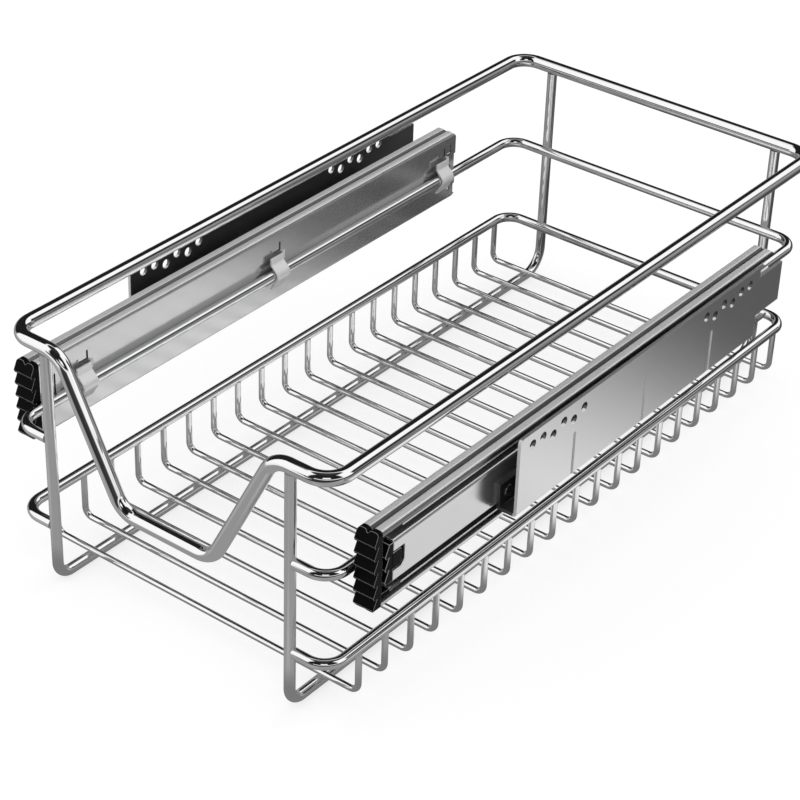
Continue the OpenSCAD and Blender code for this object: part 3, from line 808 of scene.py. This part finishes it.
# the rounded top corners of the plate, as (y, v) inward from its ends, and the waste beyond them
corner_cut = [(-1, 28.8), (0, 28.8), (0.35, 30.3), (1.2, 31.15), (2.7, 31.5), (2.7, 33), (-1, 33)]
floor_v = bracket_low + bracket_t / 2
fold = rounded([(leg_u, leg_top), (leg_u, floor_v), (plate_u, floor_v), (plate_u, bracket_high)],
               [0, 1.5, 1.5, 0])
for side, s in (("left", -1), ("right", 1)):
    section, face, plan = on_side(s)
    bm = bmesh.new()
    prism(bm, strip(fold, bracket_t), bracket_front, bracket_back, section)
    plate = solid(side + "_bracket_plate", bm)
    bm = bmesh.new()
    rear_tongue = oblong(bracket_back - 6, bracket_back + rear_long, leg_top, rear_top)
    prism(bm, rear_tongue, plate_inner, plate_outer, face)
    combine(plate, solid("rear_tongue", bm), "UNION")
    bm = bmesh.new()
    for start, group in ((bracket_front + group_inset, front_group),
                         (bracket_back - group_inset - 5 * screw_pitch, rear_group)):
        for i, drop in enumerate(group):
            hole = disc(start + screw_pitch * i, group_top - screw_drop * drop, screw_hole, 40)
            prism(bm, hole, *through_plate, face)
    for y in (bracket_front + slit_inset, (bracket_front + bracket_back) / 2, bracket_back - slit_inset):
        slit = [(y - slit_half, bracket_low - 1), (y - slit_half, slit_top),
                (y + slit_half, slit_top), (y + slit_half, bracket_low - 1)]
        prism(bm, rounded(slit, [0, 0.9, 0.9, 0]), *slit_deep, face)
    for end, k in ((bracket_front, 1), (bracket_back, -1)):
        prism(bm, [(end + k * y, v) for y, v in corner_cut], *through_plate, face)
    combine(plate, solid("cuts", bm), "DIFFERENCE")
    # painted shade on the inside of the fold and on the hole walls, except where they face up, which like
    # the slit walls are painted light; the plate's end faces get the painted edge highlight
    bm = bmesh.new()
    bm.from_mesh(plate.data)
    everything = bm.verts[:] + bm.edges[:] + bm.faces[:]
    bmesh.ops.bisect_plane(bm, geom=everything, plane_co=plan(22.6, 0, 0), plane_no=(1, 0, 0))
    bm.to_mesh(plate.data)
    bm.free()
    give_finishes(plate, (bracket_zinc, sheared_highlight, bracket_painted_shade, cut_wall_painted_light))
    for f in plate.data.polygons:
        u, v = s * f.center.x / mm - slide_web, f.center.z / mm - slide_z
        out, along = s * f.normal.x, abs(f.normal.y)
        within = bracket_front + 5 < f.center.y / mm < bracket_back - 5
        inside = out < -0.5 or (u < 23.5 and (out > 0.5 or f.normal.z > 0.5) and v < 1)
        inside = inside or (along > 0.9 and u < 22)
        cut = plate_inner < u < plate_outer and abs(out) < 0.3 and within and v < 29
        in_hole = cut and v > 15
        end = along > 0.9 and u > 23
        f.material_index = 2 if inside or (in_hole and f.normal.z < 0.8) else 3 if cut else 1 if end else 0
    dress(plate, bracket_zinc, 0.28, 3, bevel_highlight=sheared_highlight)
    finish_piece(plate, "cabinet_side", side + "_bracket")

# Rivets.
# Four domed rivets a side, closed through the bracket's inner flange and the
# cabinet member. Turned steel, zinc plated with the bracket.
# the rivets are coloured dark as painted shade inside the bracket's fold
rivet_painted_shade = zinc_sheet("rivet steel painted dark as shade", (0.26, 0.26, 0.265), (0.2, 0.2, 0.205), 0.24, 0.1)
first_rivet, rivet_pitch, rivet_count = bracket_front + 7.5, 71, 4
rivet_face, rivet_v = 12.5, -6.2
# half outline of one rivet: (radius, distance out from the cabinet member's face)
rivet_line = [(0, -2.1), (2.9, -2.1), (3.2, -1.8), (3.2, -1.2), (2, -1.2), (2, 1.8), (3.4, 1.8), (3.5, 2.0),
              (3.3, 2.45), (2.7, 2.85), (1.8, 3.1), (0.9, 3.19), (0, 3.2)]


def turned(profile, s, n=28):
    """A bmesh of a half outline turned about the x axis."""
    bm = bmesh.new()
    rings = []
    for r, d in profile:
        around = [2 * math.pi * k / n for k in range(n if r else 1)]
        rings.append([bm.verts.new(Vector((s * d, r * math.cos(a), r * math.sin(a))) * mm) for a in around])
    for a, b in zip(rings, rings[1:]):
        for k in range(n):
            j = (k + 1) % n
            if len(a) == 1:
                bm.faces.new((a[0], b[k], b[j]))
            elif len(b) == 1:
                bm.faces.new((a[k], b[0], a[j]))
            else:
                bm.faces.new((a[k], b[k], b[j], a[j]))
    bmesh.ops.recalc_face_normals(bm, faces=bm.faces)
    return bm


rivet_tree, given = start_tree("row of rivets", *row_sizes)
end_tree(rivet_tree, in_a_row(rivet_tree, given.outputs["Geometry"], given), given)
for side, s in (("left", -1), ("right", 1)):
    section, face, plan = on_side(s)
    rivets = solid(side + "_rivet_row", turned(rivet_line, s))
    rivets.data.shade_smooth()
    rivets.data.set_sharp_from_angle(angle=math.radians(40))
    run_tree(rivets, rivet_tree, finish=rivet_painted_shade, first=tuple(section(rivet_face, rivet_v, first_rivet)),
             step=(0, rivet_pitch * mm, 0), count=rivet_count)
    finish_piece(rivets, "cabinet_side", side + "_rivets")

# Studio light.
# A soft white studio, the same from all sides. Cards that only reflections see,
# most of them dark, draw the black lines that polished wire shows in a
# photographer's tent.
world = bpy.data.worlds.new("studio")
bpy.context.scene.world = world
world.use_nodes = True
t = world.node_tree
t.nodes.clear()


def maths(t, kind, *values):
    """A sum of constants and sockets in a tree."""
    n = node(t, "ShaderNodeMath", operation=kind)
    for socket, value in zip(n.inputs, values):
        feed(t, socket, value)
    return n.outputs[0]


def grade(t, value, start, end, low, high):
    """A smooth change from low to high as value goes from start to end."""
    return spread(t, value, start, end, low, high, interpolation_type="SMOOTHSTEP")


def band(t, value, rise_from, rise_to, fall_from, fall_to):
    """1 between a smooth rise and a smooth fall, 0 outside them."""
    rise = grade(t, value, rise_from, rise_to, 0, 1)
    return maths(t, "MULTIPLY", rise, grade(t, value, fall_from, fall_to, 1, 0))


look = node(t, "ShaderNodeTexCoord")
axes = node(t, "ShaderNodeSeparateXYZ")
t.links.new(look.outputs["Generated"], axes.inputs[0])
bearing = maths(t, "ARCTAN2", maths(t, "MULTIPLY", axes.outputs["X"], -1), axes.outputs["Y"])
height = maths(t, "ARCSINE", axes.outputs["Z"])


def between(value, low, high, soft):
    """1 between two angles in degrees, fading over soft degrees at each."""
    edges = [math.radians(edge + half) for edge in (low, high) for half in (-soft / 2, soft / 2)]
    return band(t, value, *edges)


# left and right edge in degrees left of the back, low and high edge, softness, brightness
cards = [(200, 150, -8, 13, 5, 0.04),
         (98, -200, -8, 13, 5, 0.04),
         (-28, -50, -8, 9, 4, 0.35),
         (-28, -54, 14, 37, 6, 0.03),
         (104, 14, -14, 60, 6, 0.012),
         (200, -200, 66, 100, 6, 0.03),
         (-90, -200, 20, 74, 8, 0.012),
         (200, 160, 12, 74, 8, 0.012),
         (-128, -154, 27, 43, 4, 1.0)]
tent = 1.0
for left, right, low, high, soft, bright in cards:
    mask = maths(t, "MULTIPLY", between(bearing, right, left, soft), between(height, low, high, soft))
    tent = blend(t, mask, tent, bright)
rays = node(t, "ShaderNodeLightPath")
# a reflection of a reflection gets the tent's average
second_bounce, tent_average = 1.5, 0.3
deep = maths(t, "GREATER_THAN", rays.outputs["Glossy Depth"], second_bounce)
seen = blend(t, rays.outputs["Is Glossy Ray"], 1.0, blend(t, deep, tent, tent_average))
sky = node(t, "ShaderNodeBackground")
t.links.new(seen, sky.inputs["Color"])
out = node(t, "ShaderNodeOutputWorld")
t.links.new(sky.outputs[0], out.inputs["Surface"])

# Floor.
# A matt floor lifted almost to white for the camera, where the basket leaves a
# faint contact shadow. Metal sees it graded instead: two pale paths before the
# flat plates, which darken to the rear, on mid grey.
floor_radius, floor_level = 6.0, -0.0002
bm = bmesh.new()
bmesh.ops.create_circle(bm, cap_ends=True, segments=96, radius=floor_radius)
ground = solid("studio_floor", bm)
for v in ground.data.vertices:
    v.co.z = floor_level
mat = bpy.data.materials.new("pale floor")
mat.use_nodes = True
t = mat.node_tree
t.nodes.clear()
rays = node(t, "ShaderNodeLightPath")
place = node(t, "ShaderNodeTexCoord")
axes = node(t, "ShaderNodeSeparateXYZ")
t.links.new(place.outputs["Object"], axes.inputs[0])
x, y = axes.outputs["X"], axes.outputs["Y"]
path_in = band(t, x, -0.12, -0.09, 0.05, 0.08)
path_out = band(t, x, 0.10, 0.125, 0.36, 0.40)
near_grey = maths(t, "ADD", 0.3, grade(t, y, -0.28, -0.22, 0.1, 0))
base = maths(t, "MULTIPLY", grade(t, y, 0.05, 0.15, 1, 0.67), near_grey)
stripe = maths(t, "MULTIPLY", 0.45, band(t, y, -0.21, -0.18, -0.17, -0.14))
base = maths(t, "MULTIPLY", base, maths(t, "SUBTRACT", 1, stripe))
base = maths(t, "MULTIPLY", base, grade(t, y, -0.34, -0.29, 0.85, 1))
inner = maths(t, "MULTIPLY", grade(t, y, -0.15, -0.1, 0.3, 0.92), grade(t, y, 0.03, 0.19, 1, 0.06))
outer = maths(t, "MULTIPLY", grade(t, y, -0.15, -0.1, 0.35, 0.86), grade(t, y, -0.03, 0.03, 0.88, 1.08))
outer = maths(t, "MULTIPLY", outer, grade(t, y, 0.0, 0.25, 1, 0.07))
far = blend(t, path_in, base, inner)
far = blend(t, path_out, far, outer)
ahead = blend(t, grade(t, x, -0.3, -0.1, 0, 1), 0.9, 0.03)
far = blend(t, grade(t, y, -0.62, -0.42, 1, 0), far, ahead)
# metal close to the floor sees it at close_level: a painted shadow of the wires on the floor
close_level, deep_level, camera_lift = 0.2, 0.2, 0.72
level = blend(t, grade(t, rays.outputs["Ray Length"], 0.02, 0.045, 0, 1), close_level, far)
deep = maths(t, "GREATER_THAN", rays.outputs["Glossy Depth"], second_bounce)
mirror = node(t, "ShaderNodeEmission")
t.links.new(blend(t, deep, level, deep_level), mirror.inputs["Color"])
matt = node(t, "ShaderNodeBsdfDiffuse")
matt.inputs["Color"].default_value = (0.32, 0.32, 0.32, 1)
lift = node(t, "ShaderNodeEmission")
t.links.new(maths(t, "MULTIPLY", rays.outputs["Is Camera Ray"], camera_lift), lift.inputs["Strength"])
pale = node(t, "ShaderNodeAddShader")
t.links.new(matt.outputs[0], pale.inputs[0])
t.links.new(lift.outputs[0], pale.inputs[1])
final = node(t, "ShaderNodeMixShader")
t.links.new(rays.outputs["Is Glossy Ray"], final.inputs["Fac"])
t.links.new(pale.outputs[0], final.inputs[1])
t.links.new(mirror.outputs[0], final.inputs[2])
out = node(t, "ShaderNodeOutputMaterial")
t.links.new(final.outputs[0], out.inputs["Surface"])
ground.data.materials.append(mat)

# Camera.
# Solved from the photograph's straight wires: an axis-angle turn and an offset
# in millimetres from the top rail's middle, x right, y down, z ahead.
camera = bpy.data.cameras.new("camera")
camera.sensor_width = 36
camera.lens = 105.67
camera.clip_end = 50
eye = bpy.data.objects.new("camera", camera)
bpy.context.scene.collection.objects.link(eye)
turn_axis = Vector((2.040, 0.723, -0.355))
turn = Matrix.Rotation(turn_axis.length, 3, turn_axis.normalized())
offset = Vector((22.318, -88.224, 1272.977))
where = -(turn.transposed() @ offset) * mm
where.z += rail_top * mm
eye.matrix_world = Matrix.Translation(where) @ Matrix((turn[0], -turn[1], -turn[2])).transposed().to_4x4()
bpy.context.scene.camera = eye

bpy.context.scene.view_settings.view_transform = "Standard"
